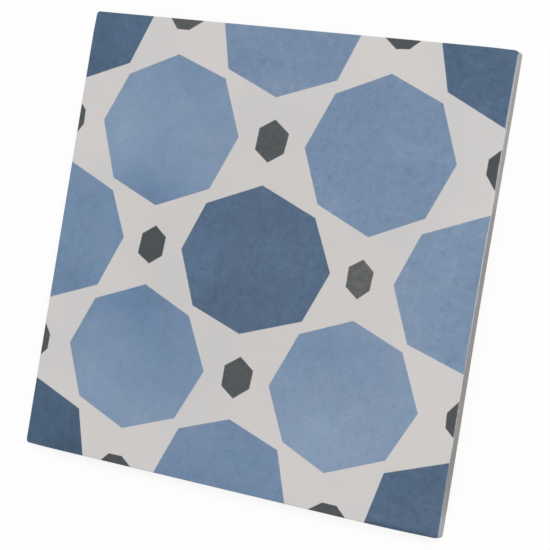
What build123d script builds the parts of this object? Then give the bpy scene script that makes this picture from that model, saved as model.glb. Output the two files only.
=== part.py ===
"""Square pressed stoneware tile with a flat printed face and a keyed back.

The tile lies on its back, face up: the origin is the middle of the back plane and +Z points out
of the printed face. It is pressed and fired in one piece, so it is one solid. All sizes are in
millimetres.
"""

import os

from build123d import *

# The slab
SIDE = 200.0  # edge length of the square
THICKNESS = 7.5  # from the back lands to the printed face
CORNER_RADIUS = 1.5  # the four upright corners, seen square to the face
ARRIS_RADIUS = 0.6  # the glazed edge all round the printed face
BACK_BEVEL = 0.4  # the edge all round the back, broken by the press

# The keyed back: shallow cells between ribs, which the adhesive fills
CELLS_PER_SIDE = 8
BORDER_WIDTH = 10.0  # flat land between the tile's sides and the outer cells
RIB_WIDTH = 3.0  # flat land between two cells
KEY_DEPTH = 0.7  # how far a cell's floor lies above the lands
KEY_DRAFT = 30.0  # lean of a cell's walls from upright, in degrees, so that the die lets go
CELL_CORNER_RADIUS = 3.0

# The cells share what the border and the ribs leave of the side
CELL_WIDTH = (SIDE - 2 * BORDER_WIDTH - (CELLS_PER_SIDE - 1) * RIB_WIDTH) / CELLS_PER_SIDE
CELL_PITCH = CELL_WIDTH + RIB_WIDTH


def pressed_slab():
    """The square slab with its rounded corners, rounded face edge and bevelled back edge."""
    slab = extrude(RectangleRounded(SIDE, SIDE, CORNER_RADIUS), amount=THICKNESS)
    slab = fillet(slab.edges().group_by(Axis.Z)[-1], ARRIS_RADIUS)
    return chamfer(slab.edges().group_by(Axis.Z)[0], BACK_BEVEL)


def key_cells():
    """The square grid of cells that the die presses into the back, narrowing towards their floors."""
    mouth = RectangleRounded(CELL_WIDTH, CELL_WIDTH, CELL_CORNER_RADIUS)
    cell = extrude(mouth, amount=KEY_DEPTH, taper=KEY_DRAFT)
    places = GridLocations(CELL_PITCH, CELL_PITCH, CELLS_PER_SIDE, CELLS_PER_SIDE)
    return [place * cell for place in places]


tile = pressed_slab() - key_cells()
tile.label = "tile"

os.makedirs("parts", exist_ok=True)
export_step(tile, "parts/tile.step")
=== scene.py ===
"""Looks of a square printed tile: a matt glaze with an octagon print on a fired stoneware body.

The tile lies face up on its keyed back. One closed mesh stands for the solid. Its face and its back
are heights over one square net of lines, and a rim profile is carried round the net's outline. The
print is stored on the net as distances past the sides of the drawn shapes and as amounts of ink,
and the material turns those into crisp fields of colour. Sizes are in millimetres unless a name or
comment says otherwise.
"""

import bpy
import numpy as np
from mathutils import Matrix, Vector


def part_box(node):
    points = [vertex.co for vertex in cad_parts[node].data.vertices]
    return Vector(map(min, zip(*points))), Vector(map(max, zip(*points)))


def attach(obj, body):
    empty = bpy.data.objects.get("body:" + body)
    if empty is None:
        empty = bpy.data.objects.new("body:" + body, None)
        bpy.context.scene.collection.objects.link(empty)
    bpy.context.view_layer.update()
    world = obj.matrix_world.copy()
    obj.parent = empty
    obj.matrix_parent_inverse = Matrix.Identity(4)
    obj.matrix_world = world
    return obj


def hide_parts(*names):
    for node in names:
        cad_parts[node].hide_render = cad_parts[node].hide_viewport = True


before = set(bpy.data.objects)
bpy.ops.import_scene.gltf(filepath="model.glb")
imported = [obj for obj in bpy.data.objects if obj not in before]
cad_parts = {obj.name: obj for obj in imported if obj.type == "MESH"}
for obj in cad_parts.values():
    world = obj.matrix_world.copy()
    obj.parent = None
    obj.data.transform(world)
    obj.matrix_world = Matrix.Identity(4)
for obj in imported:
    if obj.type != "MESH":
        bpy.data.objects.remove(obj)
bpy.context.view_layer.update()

MM = 0.001  # metres in a millimetre: the mesh and the scene are in metres

# The slab, whose outer sizes come from the solid
tile_low, tile_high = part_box("tile")
SIDE = (tile_high.x - tile_low.x) / MM
THICKNESS = (tile_high.z - tile_low.z) / MM
CORNER_RADIUS = 1.5
ARRIS_RADIUS = 0.6
BACK_BEVEL = 0.4
SIDE_DENT = 0.06  # depth of the deepest of the small dents in the pressed sides
DENT_SEED = 5
DENT_PASSES = 2  # how often the dents are averaged with their neighbours
SIDE_HOLLOW = 0.3  # how far a side's foot is drawn in half way along, where the firing shrank it most
HOLLOW_START = 0.85  # share of the way from a side's middle to its ends where the hollow starts
HOLLOW_WHOLE = 0.1  # share of that way where it has its whole depth

# How far the fired outline falls inside the true square: places along a side and depths there
OUTLINE_DIPS = {
    "right": [(-100, 0.0), (100, 0.0)],
    "left": [(90, 0.0), (94, 0.12), (97, 0.24), (100, 0.28)],
    "top": [(86, 0.0), (91, 0.08), (95, 0.2), (98, 0.27), (100, 0.28)],
    "bottom": [(-100, 0.28), (-97, 0.18), (-90, 0.04), (-84, 0.0),
               (60, 0.0), (78, 0.1), (89, 0.3), (96, 0.52), (100, 0.6)],
}
DIP_DEPTH = 10.0  # how far in from a side its dips and its hollow reach

# The keyed back
CELLS_PER_SIDE = 8
BORDER_WIDTH = 10.0
RIB_WIDTH = 3.0
KEY_DEPTH = 0.7
KEY_DRAFT = np.radians(30.0)
CELL_CORNER_RADIUS = 3.0
CELL_WIDTH = (SIDE - 2 * BORDER_WIDTH - (CELLS_PER_SIDE - 1) * RIB_WIDTH) / CELLS_PER_SIDE
CELL_PITCH = CELL_WIDTH + RIB_WIDTH
LIP = 0.2  # how far the rounding of a cell's wall reaches past its foot and its top

# How finely the net and the rim are divided
WALL_STEPS = 5
FLOOR_STEPS = 7
BORDER_STEPS = 6
CORNER_STEPS = 3
ARRIS_STEPS = 6
SIDE_STEPS = 9

# The print. Each shape has its ink, from 0, the palest, to 1, the darkest, and its corners clockwise,
# x to the right and y up from the tile's middle. An octagon also has the strength of its flecks, its
# hue, from -1 for violet to 1 for teal, and its washes, the soft oval spots where ink pooled or
# thinned: middle, two reaches and added ink. Shapes that the tile's edges cut run on a little past
# the edge.
PAST = 104.0  # how far from the tile's middle such shapes run
INNER_OCTAGONS = {
    "upper_left": {
        "ink": 0.255, "flecks": 0.53, "hue": 0.2,
        "corners": [(-53.5, 84), (-28.7, 75.5), (-17.8, 51), (-27.9, 26.9),
                    (-53, 16.3), (-76.7, 25.8), (-86.5, 51), (-77, 73)],
        "washes": [(-57, 19, 19, 11, 0.26), (-75, 46, 12, 20, -0.08), (-46, 78, 20, 11, 0.09)],
    },
    "upper_right": {
        "ink": 0.365, "flecks": 0.98, "hue": -0.15,
        "corners": [(48, 85), (72.3, 75), (82.3, 51), (72.8, 27.5),
                    (49.5, 16.5), (24.4, 27), (14.3, 50), (24.2, 74.2)],
        "washes": [(32, 26, 13, 10, -0.06), (67, 54, 14, 5, -0.05),
                   (62, 45, 16, 4, 0.05), (46, 73, 13, 9, 0.03)],
    },
    "lower_left": {
        "ink": 0.33, "flecks": 0.52, "hue": 0.15,
        "corners": [(-51.5, -19.2), (-27.5, -29.5), (-16, -52), (-26.5, -74.5),
                    (-51.5, -83.7), (-75.8, -73.6), (-85.2, -51), (-75.8, -29.2)],
        "washes": [(-54, -25, 27, 16, 0.2), (-34, -47, 16, 12, 0.05),
                   (-71, -64, 22, 22, -0.1), (-44, -79, 26, 12, -0.1)],
    },
    "lower_right": {
        "ink": 0.235, "flecks": 0.74, "hue": -0.1,
        "corners": [(49, -19), (72.5, -28.2), (83.3, -51.5), (72.7, -73),
                    (47, -83.5), (26.3, -74.5), (15.8, -52.5), (25.8, -28.5)],
        "washes": [(37, -33, 21, 14, 0.11), (45, -72, 27, 16, -0.09)],
    },
}
OUTER_OCTAGONS = {
    "middle": {
        "ink": 0.755, "flecks": 0.88, "hue": 0.25,
        "corners": [(-2.5, 31.5), (24.3, 21), (35.1, -1), (26, -23),
                    (-2, -33), (-26.5, -24.5), (-36.5, -1), (-28, 20.5)],
        "washes": [(-29, -3, 9, 12, -0.05), (-12, -23, 14, 8, 0.05), (22, -5, 12, 12, -0.035)],
    },
    "left": {
        "ink": 0.41, "flecks": 0.78, "hue": 0.2,
        "corners": [(-PAST, 32), (-76, 20), (-66.5, 0), (-76, -23), (-PAST, -34)],
        "washes": [(-90, -23, 15, 9, 0.06), (-75, -8, 10, 15, -0.055), (-94, 24, 9, 7, -0.04)],
    },
    "right": {
        "ink": 0.285, "flecks": 0.98, "hue": 0.05,
        "corners": [(PAST, 34), (PAST, -33.7), (74, -24.5), (64, -1.5), (72.5, 20.8)],
        "washes": [(71, -8, 8, 18, -0.05), (97, 0, 8, 30, 0.05)],
    },
    "top": {
        "ink": 0.375, "flecks": 1.05, "hue": -0.4,
        "corners": [(-34.5, PAST), (33, PAST), (24, 80), (-3, 70), (-28, 80)],
        "washes": [(-2, 75, 18, 5, -0.09), (-21, 84, 8, 5, 0.06)],
    },
    "bottom": {
        "ink": 0.415, "flecks": 0.88, "hue": -0.15,
        "corners": [(33, -PAST), (-34, -PAST), (-23.5, -78.5), (0, -70), (24.5, -78.5)],
        "washes": [(0, -99, 60, 5, 0.06), (-15, -80, 12, 8, -0.05)],
    },
    "corner_upper_left": {
        "ink": 0.8, "flecks": 1.0, "hue": 0.7,
        "corners": [(-PAST, PAST), (-68, PAST), (-78, 78), (-PAST, 67.5)],
        "washes": [(-79, 96, 10, 8, -0.03), (-95, 77, 8, 8, 0.04)],
    },
    "corner_upper_right": {
        "ink": 0.81, "flecks": 1.15, "hue": 0.55,
        "corners": [(66.5, PAST), (PAST, PAST), (PAST, 66), (73.5, 80)],
        "washes": [(91, 74, 9, 6, -0.05), (81, 95, 7, 6, -0.03)],
    },
    "corner_lower_left": {
        "ink": 0.905, "flecks": 0.86, "hue": 0.55,
        "corners": [(-PAST, -68), (-75, -79.5), (-68, -PAST), (-PAST, -PAST)],
        "washes": [(-76, -98, 8, 5, 0.09)],
    },
    "corner_lower_right": {
        "ink": 0.795, "flecks": 1.15, "hue": 0.1,
        "corners": [(73.2, -78.2), (PAST, -67), (PAST, -PAST), (67.2, -PAST)],
        # Its wash is a thin dark band along the bottom edge and its arris towards the lower right corner,
        # not a spot of ink.
        "washes": [(82, -100, 24, 1.5, 0.3)],
    },
}
DOTS = {
    "top": {
        "ink": 0.73,
        "corners": [(-1.5, 60.5), (6, 55), (5, 46.2), (-2, 41.5), (-9, 46.5), (-8.5, 56)],
    },
    "left": {
        "ink": 1.0,
        "corners": [(-51, 7.5), (-45.1, 3), (-45.5, -5.5), (-51.5, -9.8), (-58, -6), (-57.3, 3)],
    },
    "right": {
        "ink": 0.25,
        "corners": [(49, 7), (54.5, 2.5), (54, -5.5), (49, -10), (43, -5.5), (43, 3)],
    },
    "bottom": {
        "ink": 0.75,
        "corners": [(0.5, -42.5), (7.5, -47.5), (7, -55.5), (0, -61), (-6.5, -56.5), (-6.5, -47.5)],
    },
    "top_left": {
        "ink": 0.55,
        "corners": [(-64, PAST), (-37.5, PAST), (-50.7, 95.1), (-56.7, 95.2)],
    },
    "top_right": {
        "ink": 0.92,
        "corners": [(37, PAST), (63.5, PAST), (54, 95.9), (48, 95.4)],
    },
    "bottom_left": {
        "ink": 0.92,
        "corners": [(-56, -96), (-49.2, -95.9), (-38.5, -PAST), (-63.5, -PAST)],
    },
    "bottom_right": {
        "ink": 0.85,
        "corners": [(48.5, -95.6), (55.1, -95.6), (64.3, -PAST), (36.5, -PAST)],
    },
    "left_upper": {
        "ink": 0.7,
        "corners": [(-PAST, 61.8), (-97, 54.6), (-96.8, 48), (-PAST, 37.2)],
    },
    "left_lower": {
        "ink": 0.78,
        "corners": [(-PAST, -37.4), (-96.3, -49.3), (-96.5, -55.9), (-PAST, -63.8)],
    },
    "right_upper": {
        "ink": 1.0,
        "corners": [(PAST, 63), (PAST, 37.1), (95.2, 48.4), (95.3, 54.7)],
    },
    "right_lower": {
        "ink": 0.85,
        "corners": [(PAST, -37.8), (PAST, -62), (95.8, -55), (95.4, -48.8)],
    },
}
DEEPEST = 6.0  # points further inside a shape than this count as this far inside

# How far down the rim the glaze and the print reach, and how blue the bare glaze is, by the place
# along a side. The glaze is the same on all four sides. The print was laid a little to the left: its
# first list is for the right side, and its second, by x, for the other three, which it laps well over,
# most of all round the two right corners. There the deep lap is partly real print and partly painted
# shade, where the corners turn away from the light.
REACH_PLACES = [-100, -95, -88, -78, -65, -45, -20, 0, 20, 38, 50, 70, 85, 100]
GLAZE_REACH = [3.6, 2.8, 1.2, 0.25, 0.35, 0.2, 0.2, 0.3, 0.5, 1.4, 1.6, 1.9, 2.2, 2.4]
BLUE_VEIL = [1.0, 1.0, 1.0, 0.6, 0.1, 0.0, 0.0, 0.0, 0.0, 0.0, 0.0, 0.1, 0.2, 0.4]
PRINT_REACH = [0.45, 0.4, 0.33, 0.18, 0.15, 0.03, 0.0, 0.0, 0.02, 0.35, 0.2, 0.2, 0.32, 0.45]
LAPPED_PLACES = [-100, 62, 84, 94, 98, 100]
# the deepest reaches, near the right corners, are partly print and partly painted shade
LAPPED_PRINT_AND_SHADE_REACH = [0.55, 0.55, 1.0, 1.8, 2.5, 3.0]
CORNER_TURN = (0.2, 2.2)  # how far from a right corner the right side's own list sets in and holds alone


def net_lines():
    """The net's lines along one side: their places, and how far into the rounded corner they are.

    A half cell runs from a rib's middle to a cell's middle, with close lines on the cell's wall and
    even ones on its floor. It is mirrored into a cell, and the cell is repeated over the back. Even
    lines fill the border up to the corner rounding. The last few lines all lie at the rounding's
    start, and differ only in their share of its radius, from 0 to 1.
    """
    half_rib = RIB_WIDTH / 2
    wall = KEY_DEPTH * np.tan(KEY_DRAFT)
    wall_lines = half_rib + np.linspace(-LIP, wall + LIP, WALL_STEPS)
    floor_lines = np.linspace(wall_lines[-1], CELL_PITCH / 2, FLOOR_STEPS)[1:]
    half_cell = np.concatenate([[0.0], wall_lines, floor_lines])
    cell = np.concatenate([half_cell, CELL_PITCH - half_cell[-2:0:-1]])
    starts = (np.arange(CELLS_PER_SIDE) - CELLS_PER_SIDE / 2) * CELL_PITCH
    keyed = np.append((starts[:, None] + cell).ravel(), -starts[0])
    core = SIDE / 2 - CORNER_RADIUS
    border = np.linspace(keyed[-1], core, BORDER_STEPS)[1:]
    shares = np.linspace(0, 1, CORNER_STEPS + 1)[1:]
    outer = np.concatenate([border, np.full(CORNER_STEPS, core)])
    outer_shares = np.concatenate([np.zeros(len(border)), shares])
    places = np.concatenate([-outer[::-1], keyed, outer])
    corner_shares = np.concatenate([-outer_shares[::-1], np.zeros(len(keyed)), outer_shares])
    return places, corner_shares


def disc(across, up):
    """Turns the square corner patch, each side from -1 to 1, into a disc.

    A point's radius is the larger of its two shares, and its way along the patch's outline becomes
    an angle, an eighth of a turn for half a side. A tiny least radius keeps the middle from dividing
    by zero.
    """
    wide, high = np.abs(across), np.abs(up)
    radius = np.maximum(wide, high)
    angle = np.pi / 4 * np.minimum(wide, high) / np.maximum(radius, 1e-9)
    along, aside = radius * np.cos(angle), radius * np.sin(angle)
    x = np.where(wide >= high, along, aside)
    y = np.where(wide >= high, aside, along)
    return np.copysign(x, across), np.copysign(y, up)


def smooth_step(start, end, value):
    """0 up to the start, 1 from the end on, and a smooth S between them; the end may be the lower."""
    share = np.clip((value - start) / (end - start), 0, 1)
    return share * share * (3 - 2 * share)


def key_height(x, y):
    """Height of the back over its lands: a rounded square cell in each pitch.

    The distance into a cell is measured from its mouth, whose corners are round. The height rises
    with it along a smooth S as wide as the drafted wall and its two roundings.
    """
    last = CELLS_PER_SIDE / 2 - 1
    column = np.clip(np.floor(x / CELL_PITCH), -last - 1, last)
    row = np.clip(np.floor(y / CELL_PITCH), -last - 1, last)
    straight = CELL_WIDTH / 2 - CELL_CORNER_RADIUS
    past_x = np.abs(x - (column + 0.5) * CELL_PITCH) - straight
    past_y = np.abs(y - (row + 0.5) * CELL_PITCH) - straight
    round_part = np.hypot(np.maximum(past_x, 0), np.maximum(past_y, 0))
    inside = CELL_CORNER_RADIUS - round_part - np.minimum(np.maximum(past_x, past_y), 0)
    wall = KEY_DEPTH * np.tan(KEY_DRAFT)
    return KEY_DEPTH * smooth_step(-LIP, wall + LIP, inside)


def rim_profile():
    """The rim from the face's edge to the back's edge, as radii of the rounded corner and heights.

    A quarter circle rolls over the face's arris, a straight stretch goes down the side, and the
    bevel goes in to the back.
    """
    turn = np.linspace(0, np.pi / 2, ARRIS_STEPS + 1)
    arris_radius = CORNER_RADIUS - ARRIS_RADIUS * (1 - np.sin(turn))
    arris_height = THICKNESS - ARRIS_RADIUS * (1 - np.cos(turn))
    side_height = np.linspace(arris_height[-1], BACK_BEVEL, SIDE_STEPS + 1)[1:]
    side_radius = np.full(SIDE_STEPS, CORNER_RADIUS)
    radius = np.concatenate([arris_radius, side_radius, [CORNER_RADIUS - BACK_BEVEL]])
    height = np.concatenate([arris_height, side_height, [0.0]])
    return radius, height


def below_arris(height):
    """The share of the way down a side, 0 at the arris and 1 at the back's edge."""
    top = THICKNESS - ARRIS_RADIUS
    return np.clip((top - height) / (top - BACK_BEVEL), 0, 1)


def side_dents(height, columns):
    """How far each point of the rim lies inside the true side, for rows of heights and columns round it.

    Seeded random numbers are averaged with their neighbours round the rim and down it, a point
    counting twice, and spread over 0 to 1. The dents are deepest at the back's edge and fade out at
    the arris.
    """
    dents = np.random.default_rng(DENT_SEED).random((len(height), columns))
    for _ in range(DENT_PASSES):
        dents = (np.roll(dents, -1, axis=1) + 2 * dents + np.roll(dents, 1, axis=1)) / 4
        dents = (np.roll(dents, -1, axis=0) + 2 * dents + np.roll(dents, 1, axis=0)) / 4
    dents = (dents - dents.min()) / (dents.max() - dents.min())
    return SIDE_DENT * below_arris(height)[:, None] * dents


def drawn_in(plan, way_down):
    """Moves points near the sides in from them: the face by the outline's dips, the back by the hollow.

    The dips run straight from one named place to the next. The hollow is a smooth S from a side's
    ends to its middle. Down a side, the one gives way evenly to the other.
    """
    x, y = plan[..., 0], plan[..., 1]
    moved = []
    for across, along, minus_side, plus_side in ((x, y, "left", "right"), (y, x, "bottom", "top")):
        from_middle = np.abs(along) / (SIDE / 2)
        hollow = SIDE_HOLLOW * way_down * smooth_step(HOLLOW_START, HOLLOW_WHOLE, from_middle)
        minus_dip = hollow + (1 - way_down) * np.interp(along, *zip(*OUTLINE_DIPS[minus_side]))
        plus_dip = hollow + (1 - way_down) * np.interp(along, *zip(*OUTLINE_DIPS[plus_side]))
        near = smooth_step(SIDE / 2 - DIP_DEPTH, SIDE / 2 - BACK_BEVEL, np.abs(across))
        moved.append(across + near * np.where(across < 0, minus_dip, -plus_dip))
    return np.stack(moved, -1)


def side_distances(corners, x, y):
    """How far points lie past the even and the odd sides of a convex shape given clockwise.

    A point's distance past a side is negative inside. Every second side is taken together, by the
    largest distance. An even and an odd side meet in each corner, so both values run straight on
    there, and the larger of the two has a sharp corner even between the net's points.
    """
    start = np.array(corners, float)
    way = np.roll(start, -1, axis=0) - start
    way /= np.linalg.norm(way, axis=1, keepdims=True)
    line = start[:, 1] * way[:, 0] - start[:, 0] * way[:, 1]
    past = np.multiply.outer(x, -way[:, 1]) + np.multiply.outer(y, way[:, 0]) - line
    past = np.maximum(past, -DEEPEST)
    return past[:, 0::2].max(axis=1), past[:, 1::2].max(axis=1)


def ink_in(shape, x, y):
    """A shape's ink at each point: its own and that of its washes, each a Gaussian with two reaches."""
    washes = np.array(shape.get("washes", [])).reshape(-1, 5)
    middle_x, middle_y, reach_x, reach_y, added = washes.T
    across = (x[:, None] - middle_x) / reach_x
    up = (y[:, None] - middle_y) / reach_y
    return shape["ink"] + (added * np.exp(-across ** 2 - up ** 2)).sum(axis=1)


def print_layer(shapes, x, y):
    """The nearest shape at each point: distances past its even and odd sides, and its ink there."""
    sides = np.array([side_distances(shape["corners"], x, y) for shape in shapes.values()])
    inks = np.array([ink_in(shape, x, y) for shape in shapes.values()])
    nearest = sides.max(axis=1).argmin(axis=0)
    points = np.arange(len(x))
    return np.stack([sides[nearest, 0, points], sides[nearest, 1, points], inks[nearest, points]], -1)


def nearest_octagon(name, x, y):
    """The nearest octagon's value of this name at each point."""
    octagons = [*INNER_OCTAGONS.values(), *OUTER_OCTAGONS.values()]
    distances = np.array([np.maximum(*side_distances(shape["corners"], x, y)) for shape in octagons])
    values = np.array([shape[name] for shape in octagons])
    return values[distances.argmin(axis=0)]


def side_reaches(x, y):
    """How far down the rim the glaze and the print reach at each point, and how blue the bare glaze is.

    Each runs straight from one listed place to the next. Round a right corner, the print's two lists
    pass into each other along a smooth S.
    """
    along = np.where(np.abs(x) >= np.abs(y), y, x)
    # Round the right corners the print's lap is partly real print and partly painted shade.
    on_right = smooth_step(*CORNER_TURN, x - np.abs(y))
    lapped_and_shade = np.interp(x, LAPPED_PLACES, LAPPED_PRINT_AND_SHADE_REACH)
    print_and_shade_reach = lapped_and_shade + on_right * (np.interp(along, REACH_PLACES, PRINT_REACH) - lapped_and_shade)
    glaze_reach = np.maximum(np.interp(along, REACH_PLACES, GLAZE_REACH), print_and_shade_reach)
    return glaze_reach, print_and_shade_reach, np.interp(along, REACH_PLACES, BLUE_VEIL)


def tile_fields(x, y):
    """All the values that the material reads from the mesh's points."""
    glaze_reach, print_and_shade_reach, blue_veil = side_reaches(x, y)
    return {
        "inner_octagons": print_layer(INNER_OCTAGONS, x, y),
        "outer_octagons": print_layer(OUTER_OCTAGONS, x, y),
        "dots": print_layer(DOTS, x, y),
        "flecks": nearest_octagon("flecks", x, y),
        "hue": nearest_octagon("hue", x, y),
        "glaze_reach": glaze_reach,
        "print_and_shade_reach": print_and_shade_reach,
        "blue_veil": blue_veil,
    }


def quad_corners(grid):
    """The values at the four corners of each quad of a grid, anticlockwise where the grid faces up."""
    corners = np.stack([grid[:-1, :-1], grid[:-1, 1:], grid[1:, 1:], grid[1:, :-1]], axis=2)
    return corners.reshape(-1, *corners.shape[2:])


def outline_of(grid):
    """The outermost values of a square grid, anticlockwise from its lower left corner."""
    return np.concatenate([grid[0, :-1], grid[:-1, -1], grid[-1, :0:-1], grid[:0:-1, 0]])


# The map that colours are baked through: the face, the back in a corner, and a strip for each side
MAP_FACE = (0.01, 0.01, 0.73)  # left, bottom and size, in shares of the map
MAP_BACK = (0.75, 0.75, 0.24)
MAP_STRIPS = (0.01, 0.76, 0.73)  # left, bottom of the first strip and length
MAP_STRIP_STEP = 0.06
MAP_STRIP_HEIGHT = 0.05


def square_map(plan, place):
    """Map places of a grid of points, straight from their places over the tile's square."""
    left, bottom, size = place
    return np.array([left, bottom]) + size * (plan / SIDE + 0.5)


def strip_map(profile_length, columns):
    """Map places of the rim's quads: a side's columns run along its strip, and the profile up it."""
    left, bottom, length = MAP_STRIPS
    down = np.append(0, np.cumsum(profile_length)) / profile_length.sum()
    column = np.arange(columns)
    per_side = columns // 4
    starts = left + length * (column % per_side) / per_side
    strip = bottom + MAP_STRIP_STEP * (column // per_side)
    low = strip + MAP_STRIP_HEIGHT * down[:-1, None]
    high = strip + MAP_STRIP_HEIGHT * down[1:, None]
    near = np.broadcast_to(starts, low.shape)
    far = near + length / per_side
    corners = [(near, low), (far, low), (far, high), (near, high)]
    return np.stack([np.stack(corner, -1) for corner in corners], axis=2).reshape(-1, 4, 2)


def tile_mesh():
    """One closed mesh: the face's grid, the back's grid, and rings between their two outlines."""
    places, shares = net_lines()
    core = np.stack(np.meshgrid(places, places), -1)
    rounding = np.stack(disc(*np.meshgrid(shares, shares)), -1)
    count = len(places)

    face_plan = drawn_in(core + (CORNER_RADIUS - ARRIS_RADIUS) * rounding, way_down=0.0)
    face = np.dstack([face_plan, np.full((count, count), THICKNESS)])
    back_plan = drawn_in(core + (CORNER_RADIUS - BACK_BEVEL) * rounding, way_down=1.0)
    back = np.dstack([back_plan, key_height(back_plan[..., 0], back_plan[..., 1])])

    radius, height = rim_profile()
    ring_core, ring_out = outline_of(core), outline_of(rounding)
    columns = len(ring_core)
    ring_radius = radius[1:-1, None] - side_dents(height[1:-1], columns)
    ring_plan = drawn_in(ring_core + ring_radius[..., None] * ring_out, below_arris(height[1:-1, None]))
    rings = np.dstack([ring_plan, np.broadcast_to(height[1:-1, None], ring_radius.shape)])

    points = np.concatenate([face.reshape(-1, 3), back.reshape(-1, 3), rings.reshape(-1, 3)])
    face_numbers = np.arange(count * count).reshape(count, count)
    back_numbers = face_numbers + count * count
    ring_numbers = np.arange(ring_radius.size).reshape(ring_radius.shape) + 2 * count * count
    rim_numbers = np.vstack([outline_of(face_numbers), ring_numbers, outline_of(back_numbers)])
    rim_numbers = np.hstack([rim_numbers, rim_numbers[:, :1]])
    faces = np.concatenate([
        quad_corners(face_numbers),
        quad_corners(back_numbers)[:, ::-1],
        quad_corners(rim_numbers)[:, ::-1],
    ])
    profile_length = np.hypot(np.diff(radius), np.diff(height))
    bake_map = np.concatenate([
        quad_corners(square_map(face_plan, MAP_FACE)),
        quad_corners(square_map(back_plan, MAP_BACK))[:, ::-1],
        strip_map(profile_length, columns)[:, ::-1],
    ])
    return points, faces, bake_map


def new_piece(name, points, faces, bake_map, fields):
    """Puts the arrays into a smooth mesh object at the origin, with the fields' values on its points."""
    mesh = bpy.data.meshes.new(name)
    mesh.vertices.add(len(points))
    mesh.vertices.foreach_set("co", (points * MM).astype(np.float32).ravel())
    mesh.loops.add(faces.size)
    mesh.loops.foreach_set("vertex_index", faces.astype(np.int32).ravel())
    mesh.polygons.add(len(faces))
    mesh.polygons.foreach_set("loop_start", np.arange(0, faces.size, faces.shape[1], dtype=np.int32))
    mesh.polygons.foreach_set("use_smooth", np.ones(len(faces), bool))
    mesh.update(calc_edges=True)
    mesh.uv_layers.new(name="OFBake").uv.foreach_set("vector", bake_map.astype(np.float32).ravel())
    for field, values in fields.items():
        kind, slot = ("FLOAT", "value") if values.ndim == 1 else ("FLOAT_VECTOR", "vector")
        data = mesh.attributes.new(field, kind, "POINT").data
        data.foreach_set(slot, values.astype(np.float32).ravel())
    mesh.validate()
    piece = bpy.data.objects.new(name, mesh)
    bpy.context.scene.collection.objects.link(piece)
    return piece


class Board:
    """A material's node tree. A plain value is set on a socket, and another socket is linked to it."""

    def __init__(self, name):
        self.material = bpy.data.materials.new(name)
        self.material.use_nodes = True
        self.tree = self.material.node_tree
        self.tree.nodes.clear()

    def node(self, kind, inputs, output=0, **settings):
        """A new node's output, after its settings and inputs are in place."""
        made = self.tree.nodes.new("ShaderNode" + kind)
        for key, value in settings.items():
            setattr(made, key, value)
        for key, value in inputs.items():
            if isinstance(value, bpy.types.NodeSocket):
                self.tree.links.new(value, made.inputs[key])
            else:
                made.inputs[key].default_value = value
        return made.outputs[output]

    def sum(self, operation, *values):
        """One step of arithmetic, by the name that the Math node has for it."""
        return self.node("Math", dict(enumerate(values)), operation=operation)

    def ramp(self, value, low, high, to_low=0.0, to_high=1.0):
        """A smooth S from to_low at low to to_high at high."""
        ends = {"Value": value, "From Min": low, "From Max": high, "To Min": to_low, "To Max": to_high}
        return self.node("MapRange", ends, interpolation_type="SMOOTHSTEP")

    def blend(self, share, first, second):
        """The first number where the share is 0, and the second where it is 1.

        A Mix node's numbers are its inputs 2 and 3.
        """
        return self.node("Mix", {0: share, 2: first, 3: second})

    def mix(self, share, first, second):
        """The first colour where the share is 0, and the second where it is 1.

        A Mix node's colours are its inputs 6 and 7 and its output 2.
        """
        return self.node("Mix", {0: share, 6: first, 7: second}, output=2, data_type="RGBA")

    def scaled(self, vector, by):
        """A colour or a place times a number."""
        return self.node("VectorMath", {0: vector, "Scale": by}, operation="SCALE")

    def run_of(self, share, stops):
        """The colour at a share of the way through stops of place and colour."""
        made = self.tree.nodes.new("ShaderNodeValToRGB")
        stretch = made.color_ramp
        for _ in stops[2:]:
            stretch.elements.new(1.0)
        for element, (place, colour) in zip(stretch.elements, stops):
            element.position = place
            element.color = colour
        self.tree.links.new(share, made.inputs["Fac"])
        return made.outputs["Color"]

    def field(self, name, output="Fac"):
        """The value that the mesh's points hold under this name."""
        return self.node("Attribute", {}, output=output, attribute_name=name)

    def noise(self, coordinates, size, detail=2.0, roughness=0.5):
        """Noise from 0 to 1 whose lumps are about size millimetres apart."""
        inputs = {"Vector": coordinates, "Scale": 1 / size, "Detail": detail, "Roughness": roughness}
        return self.node("TexNoise", inputs)

    def swing(self, coordinates, size, reach, **settings):
        """Noise about 0, from -reach to reach."""
        return self.sum("MULTIPLY_ADD", self.noise(coordinates, size, **settings), 2 * reach, -reach)

    def shifted(self, coordinates, by):
        """Coordinates moved by a vector."""
        return self.node("VectorMath", {0: coordinates, 1: by}, operation="ADD")

    def show(self, surface):
        """Ends the tree with this shader and returns the material."""
        output = self.tree.nodes.new("ShaderNodeOutputMaterial")
        self.tree.links.new(surface, output.inputs["Surface"])
        return self.material


def paint(red, green, blue):
    """A colour as a screen shows it, 0 to 255, turned into a shader's linear colour by the sRGB curve."""
    shown = np.array([red, green, blue]) / 255
    linear = np.where(shown <= 0.04045, shown / 12.92, ((shown + 0.055) / 1.055) ** 2.4)
    return (*linear.tolist(), 1.0)


# The colours
CREAM = paint(199, 197, 196)
WARM_CREAM = paint(203, 199, 197)
BLUES = [  # from the least ink to the most
    (0.0, paint(145, 162, 185)), (0.34, paint(117, 139, 166)), (0.47, paint(107, 131, 161)),
    (0.76, paint(82, 102, 127)), (1.0, paint(61, 82, 104)),
]
VIOLET_TINT = (1.08, 0.99, 0.97, 1)
TEAL_TINT = (0.92, 1.01, 1.03, 1)
PALE_CHARCOAL = paint(98, 99, 99)
CHARCOAL = paint(70, 75, 78)
BARE_GLAZE = paint(190, 193, 199)
BLUED_GLAZE = paint(162, 178, 206)
BODY = paint(145, 142, 138)
MISTED_BODY = paint(188, 184, 177)

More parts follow.
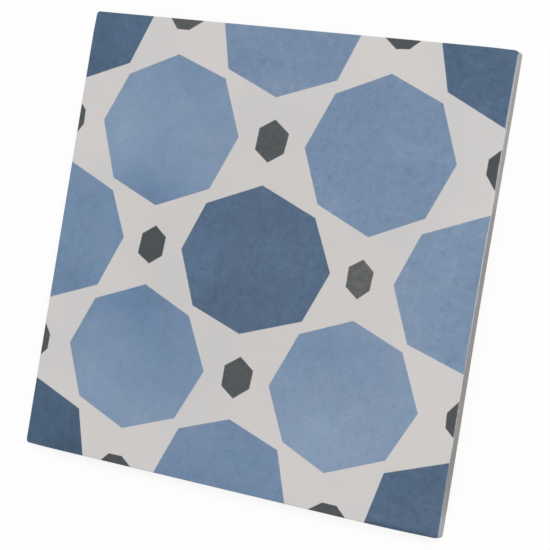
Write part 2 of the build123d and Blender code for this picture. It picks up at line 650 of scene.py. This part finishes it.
# The print's edges and ink. A noise's size is how far apart its lumps are, its reach is how far it
# swings either way, and a shift moves it off another noise of its kind.
OUTLINE_WOBBLE = {"size": 2.5, "reach": 0.12}
PRINT_BLUR = 0.22  # half the width of the soft edge of the print
OCTAGON_SPREAD = 0.08  # how far the ink ran past the drawn outlines
DOT_SPREAD = -0.07  # the dots' ink stopped short of theirs
INK_CLOUDS = {"size": 22.0, "reach": 0.065}
INK_PATCHES = {"size": 9.0, "reach": 0.05, "detail": 1.0}
PATCH_SHIFT = (90.0, 0.0, 0.0)
INK_MOTTLE = {"size": 5.0, "reach": 0.08, "detail": 4.0, "roughness": 0.85}
STROKE_PATHS = {"size": 2.6, "reach": 1.0, "detail": 1.0}
STROKE_BREADTH = 0.22  # how far from 0 the paths' noise may be within a stroke
STROKE_GATE = {"size": 4.0, "detail": 1.0}
STROKE_GATE_ENDS = (0.48, 0.6)  # values of the gate's noise between which the strokes set in
GATE_SHIFT = (31.0, 17.0, 5.0)
DARK_STROKES = {"shift": (0.0, 0.0, 0.0), "ink": 0.09}
PALE_STROKES = {"shift": (7.0, 53.0, 23.0), "ink": -0.07}
FLECK_INK = 0.5  # share of the flecks that is ink, and shifts the hue
FLECK_SHADE = 0.65  # how far a whole unit of flecks darkens the blue besides
HUE_DRIFT = {"size": 26.0, "reach": 1.0}
HUE_SHIFT = (0.0, 70.0, 0.0)
CREAM_DRIFT = {"size": 30.0}
CREAM_DRIFT_ENDS = (0.3, 0.7)  # values of the noise where the cream is all cool and all warm
CREAM_LIFT = 1.035  # how much lighter the cream is near the sides than in the middle
CREAM_LIFT_PLACES = (45.0, 95.0)  # how far out from the middle the lightening starts and ends
SOOT = {"size": 2.2, "reach": 1.2, "detail": 3.0}
EVEN_INK = 1.1  # the amount of ink that would make a dot quite even

# The lower ends of the print and the glaze on the rim
PRINT_END_WOBBLE = {"size": 2.0, "reach": 0.14, "detail": 3.0}
PRINT_FADE = (0.01, 0.12)  # how far below the print's end it starts and ends fading to its veil
INK_VEIL = 0.2  # share of the print's colour that bled into the bare glaze
GLAZE_END_WOBBLE = {"size": 3.0, "reach": 0.5, "detail": 4.0}
GLAZE_BLUR = 0.12  # half the width of the soft lower edge of the glaze
LEAST_GLAZE = 0.15  # how far down the glaze reaches at the least

# The bare body
BODY_GRAIN = {"size": 1.2, "reach": 0.2, "detail": 3.0}
BODY_CLOUDS = {"size": 12.0, "reach": 0.16}
GRIT = {"size": 1.6}
GRIT_SHIFT = (3.0, 9.0, 27.0)
GRIT_ENDS = (0.66, 0.72)  # values of the noise between which body turns to grit
GRIT_SHADE = 0.8  # how light the grit is against the body
LAND_DUST = 1.22  # how much paler the back's lands are than its cells, from the kiln's dust
DUST_HEIGHTS = (0.1, 0.5)  # heights between which the dust thins out
MIST_SHARE = 0.5  # how much of the misted colour the sides take on where the glaze runs far down
MIST_REACHES = (0.5, 2.6)  # reaches of the glaze between which the mist comes up
MIST_PLACES = (SIDE / 2 - 1.2, SIDE / 2 - 0.7)  # how far out from the middle the sides' mist sets in

# The finish
GLAZE_ROUGHNESS = 0.6
BODY_ROUGHNESS = 0.9
SHINE = 0.25  # the shader's specular level, the same on glaze and body
RELIEF = {"size": 1.2, "detail": 3.0}
RELIEF_STRENGTH = 0.2
RELIEF_DEPTH = 0.05  # of the fine bumps, before their strength thins them


def layer_cover(board, name, spread, wobble):
    """A print layer's cover, 1 inside its shapes and 0 outside, and its ink.

    The shapes grow by the spread, and the wobble moves their edges a little in or out.
    """
    layer = board.node("SeparateXYZ", {0: board.field(name, "Vector")}).node
    past = board.sum("MAXIMUM", layer.outputs["X"], layer.outputs["Y"])
    past = board.sum("ADD", past, wobble)
    cover = board.ramp(past, spread - PRINT_BLUR, spread + PRINT_BLUR, 1.0, 0.0)
    return cover, layer.outputs["Z"]


def strokes(board, place, shift, ink):
    """Short thin curved strokes of ink, where a noise is near its middle value and a second one is high."""
    moved = board.shifted(place, shift)
    from_middle = board.sum("ABSOLUTE", board.swing(moved, **STROKE_PATHS))
    line = board.ramp(from_middle, 0.0, STROKE_BREADTH, 1.0, 0.0)
    gate = board.noise(board.shifted(moved, GATE_SHIFT), **STROKE_GATE)
    gate = board.ramp(gate, *STROKE_GATE_ENDS)
    return board.sum("MULTIPLY", board.sum("MULTIPLY", line, gate), ink)


def outward(board, place):
    """How far a point lies from the tile's middle, along X or along Y, whichever is more."""
    distances = board.node("VectorMath", {0: place}, operation="ABSOLUTE")
    axes = board.node("SeparateXYZ", {0: distances}).node
    return board.sum("MAXIMUM", axes.outputs["X"], axes.outputs["Y"])


def octagon_blue(board, place, own_ink):
    """The octagons' blue by its ink, which clouds, patches and flecks make uneven.

    The flecks shade the blue besides, and its hue drifts between violet and teal.
    """
    clouds = board.swing(place, **INK_CLOUDS)
    patches = board.swing(board.shifted(place, PATCH_SHIFT), **INK_PATCHES)
    mottle = board.swing(place, **INK_MOTTLE)
    dark = strokes(board, place, **DARK_STROKES)
    pale = strokes(board, place, **PALE_STROKES)
    flecks = board.sum("ADD", mottle, board.sum("ADD", dark, pale))
    flecks = board.sum("MULTIPLY", flecks, board.field("flecks"))
    unevenness = board.sum("MULTIPLY_ADD", flecks, FLECK_INK, board.sum("ADD", clouds, patches))
    blue = board.run_of(board.sum("ADD", own_ink, unevenness), BLUES)
    blue = board.scaled(blue, board.sum("MULTIPLY_ADD", flecks, -FLECK_SHADE, 1.0))
    drift = board.swing(board.shifted(place, HUE_SHIFT), **HUE_DRIFT)
    hue = board.sum("ADD", board.field("hue"), drift)
    tint = board.mix(board.node("MapRange", {"Value": hue, "From Min": -1.0}), VIOLET_TINT, TEAL_TINT)
    return board.node("VectorMath", {0: blue, 1: tint}, operation="MULTIPLY")


def ground_cream(board, place):
    """The cream ground, which drifts between cool and warm and lightens towards the sides."""
    drift = board.ramp(board.noise(place, **CREAM_DRIFT), *CREAM_DRIFT_ENDS)
    lightened = board.ramp(outward(board, place), *CREAM_LIFT_PLACES, 1.0, CREAM_LIFT)
    return board.scaled(board.mix(drift, CREAM, WARM_CREAM), lightened)


def dot_charcoal(board, place, own_ink):
    """The dots' charcoal by its ink: the thinner it is, the more uneven."""
    thinness = board.sum("SUBTRACT", EVEN_INK, own_ink)
    soot = board.sum("MULTIPLY_ADD", board.swing(place, **SOOT), thinness, own_ink)
    return board.mix(soot, PALE_CHARCOAL, CHARCOAL)


def printed_colour(board, place):
    """The print on the face: blue octagons and charcoal dots on a cream ground."""
    wobble = board.swing(place, **OUTLINE_WOBBLE)
    inner, inner_ink = layer_cover(board, "inner_octagons", OCTAGON_SPREAD, wobble)
    outer, outer_ink = layer_cover(board, "outer_octagons", OCTAGON_SPREAD, wobble)
    dot, dot_ink = layer_cover(board, "dots", DOT_SPREAD, wobble)
    blue = octagon_blue(board, place, board.blend(inner, outer_ink, inner_ink))
    ground = board.mix(board.sum("MAXIMUM", inner, outer), ground_cream(board, place), blue)
    return board.mix(dot, ground, dot_charcoal(board, place, dot_ink))


def body_colour(board, place, height):
    """Bare fired stoneware: grain, clouds and dark grit, with dusted lands on the back.

    The sides are misted over where the glaze runs far down.
    """
    grain = board.swing(place, **BODY_GRAIN)
    clouds = board.swing(place, **BODY_CLOUDS)
    grit = board.noise(board.shifted(place, GRIT_SHIFT), **GRIT)
    grit = board.ramp(grit, *GRIT_ENDS, 1.0, GRIT_SHADE)
    shade = board.sum("MULTIPLY", board.sum("ADD", board.sum("ADD", grain, clouds), 1.0), grit)
    shade = board.sum("MULTIPLY", shade, board.ramp(height, *DUST_HEIGHTS, LAND_DUST, 1.0))
    mist = board.ramp(board.field("glaze_reach"), *MIST_REACHES, 0.0, MIST_SHARE)
    mist = board.sum("MULTIPLY", mist, board.ramp(outward(board, place), *MIST_PLACES))
    return board.scaled(board.mix(mist, BODY, MISTED_BODY), shade)


def tile_material():
    """Printed matt glaze on the face and its arris, a line of bare glaze below, bare body elsewhere."""
    board = Board("printed_glaze_on_stoneware")
    metres = board.node("TexCoord", {}, output="Object")
    place = board.scaled(metres, 1 / MM)
    height = board.node("SeparateXYZ", {0: place}, output="Z")
    drop = board.sum("SUBTRACT", THICKNESS, height)

    # The print's reach holds painted shade round the two right corners, where its lap runs deepest.
    print_end = board.sum("ADD", board.field("print_and_shade_reach"), board.swing(place, **PRINT_END_WOBBLE))
    below_print = board.sum("SUBTRACT", drop, board.sum("MAXIMUM", print_end, 0.0))
    printed = board.ramp(below_print, *PRINT_FADE, 1.0, INK_VEIL)
    glaze_end = board.sum("ADD", board.field("glaze_reach"), board.swing(place, **GLAZE_END_WOBBLE))
    below_glaze = board.sum("SUBTRACT", drop, board.sum("MAXIMUM", glaze_end, LEAST_GLAZE))
    glazed = board.ramp(below_glaze, -GLAZE_BLUR, GLAZE_BLUR, 1.0, 0.0)

    bare_glaze = board.mix(board.field("blue_veil"), BARE_GLAZE, BLUED_GLAZE)
    glaze = board.mix(printed, bare_glaze, printed_colour(board, place))
    colour = board.mix(glazed, body_colour(board, place, height), glaze)
    roughness = board.ramp(glazed, 0.0, 1.0, BODY_ROUGHNESS, GLAZE_ROUGHNESS)
    bump = board.node("Bump", {
        "Height": board.noise(place, **RELIEF), "Strength": RELIEF_STRENGTH, "Distance": RELIEF_DEPTH * MM,
    })
    surface = board.node("BsdfPrincipled", {
        "Base Color": colour, "Roughness": roughness, "Specular IOR Level": SHINE, "Normal": bump,
    })
    return board.show(surface)


def build_tile():
    """The printed tile, which stands for the whole solid."""
    points, faces, bake_map = tile_mesh()
    piece = new_piece("printed_tile", points, faces, bake_map, tile_fields(points[:, 0], points[:, 1]))
    piece.data.materials.append(tile_material())
    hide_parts("tile")
    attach(piece, "root")


# The studio: a white floor, a soft overcast world and one broad lamp
WHITE = (1, 1, 1, 1)
FLOOR_SIZE = 8.0  # metres
FLOOR_OPENING = 0.198  # metres, a little less than the tile's side, so the tile covers it from above
FLOOR_COLOUR = (0.98, 0.98, 0.98, 1)
FLOOR_WHITENING = 0.8  # share of plain white in the floor as it is seen, which leaves the shadow faint
WORLD_LIGHT = 0.62  # strength of the world as a light; the camera sees it at full strength
LAMP_PLACE = (1.6, 1.2, 3.2)  # metres
LAMP_SIZE = 2.4  # metres
LAMP_WATTS = 73.0


def seen_rays(board):
    """1 for rays from the camera and those that mirror or pass through, which show the white ground."""
    path = board.tree.nodes.new("ShaderNodeLightPath")
    seen = board.sum("MAXIMUM", path.outputs["Is Camera Ray"], path.outputs["Is Glossy Ray"])
    return board.sum("MAXIMUM", seen, path.outputs["Is Transmission Ray"])


def build_floor():
    """A white square with an opening under the tile, so that the back is in the light from below."""
    ends = [(-1, -1, 0), (1, -1, 0), (1, 1, 0), (-1, 1, 0)]
    corners = [Vector(end) * size / 2 for size in (FLOOR_SIZE, FLOOR_OPENING) for end in ends]
    mesh = bpy.data.meshes.new("floor")
    mesh.from_pydata(corners, [], [(0, 1, 5, 4), (1, 2, 6, 5), (2, 3, 7, 6), (3, 0, 4, 7)])
    board = Board("white_floor")
    lit = board.node("BsdfDiffuse", {"Color": FLOOR_COLOUR})
    white = board.node("Emission", {"Color": WHITE, "Strength": 1.0})
    share = board.sum("MULTIPLY", seen_rays(board), FLOOR_WHITENING)
    surface = board.node("MixShader", {0: share, 1: lit, 2: white})
    mesh.materials.append(board.show(surface))
    floor = bpy.data.objects.new("floor", mesh)
    bpy.context.scene.collection.objects.link(floor)


def build_world():
    """A white world, which the camera sees as plain white and which lights the tile a little less."""
    world = bpy.data.worlds.new("studio")
    bpy.context.scene.world = world
    world.use_nodes = True
    tree = world.node_tree
    tree.nodes.clear()
    path = tree.nodes.new("ShaderNodeLightPath")
    strength = tree.nodes.new("ShaderNodeMapRange")
    strength.inputs["To Min"].default_value = WORLD_LIGHT
    strength.inputs["To Max"].default_value = 1.0
    background = tree.nodes.new("ShaderNodeBackground")
    background.inputs["Color"].default_value = WHITE
    output = tree.nodes.new("ShaderNodeOutputWorld")
    tree.links.new(path.outputs["Is Camera Ray"], strength.inputs["Value"])
    tree.links.new(strength.outputs[0], background.inputs["Strength"])
    tree.links.new(background.outputs[0], output.inputs["Surface"])


def build_lamp():
    """A broad softbox, high up beyond the upper right corner, turned to the tile's middle."""
    data = bpy.data.lights.new("softbox", "AREA")
    data.shape = "SQUARE"
    data.size = LAMP_SIZE
    data.energy = LAMP_WATTS
    lamp = bpy.data.objects.new("softbox", data)
    lamp.location = LAMP_PLACE
    lamp.rotation_euler = (-Vector(LAMP_PLACE)).to_track_quat("-Z", "Y").to_euler()
    bpy.context.scene.collection.objects.link(lamp)


# The camera, worked out from the tile's four outline edges in the photograph
CAMERA_PLACE = (278.6, -1.2, 591.2)
CAMERA_AIM = (10.2, -5.5, 7.5)
CAMERA_TURN = np.radians(10.32)  # how far the picture's up leans to the left of the tile's +Y
CAMERA_LENS = 98.55
CAMERA_SENSOR = 36.0
CAMERA_NEAREST = 0.01  # metres: what is nearer isn't seen


def build_camera():
    """The camera at its place, with its back turned away from its aim and its up turned from +Y."""
    place, aim = Vector(CAMERA_PLACE) * MM, Vector(CAMERA_AIM) * MM
    back = (place - aim).normalized()
    right = Vector((-np.sin(CAMERA_TURN), np.cos(CAMERA_TURN), 0)).cross(back).normalized()
    up = back.cross(right)
    data = bpy.data.cameras.new("camera")
    data.sensor_width = CAMERA_SENSOR
    data.lens = CAMERA_LENS
    data.clip_start = CAMERA_NEAREST
    camera = bpy.data.objects.new("camera", data)
    camera.matrix_world = Matrix.Translation(place) @ Matrix((right, up, back)).transposed().to_4x4()
    bpy.context.scene.collection.objects.link(camera)
    bpy.context.scene.camera = camera


build_tile()
build_floor()
build_world()
build_lamp()
build_camera()
bpy.context.scene.view_settings.view_transform = "Standard"
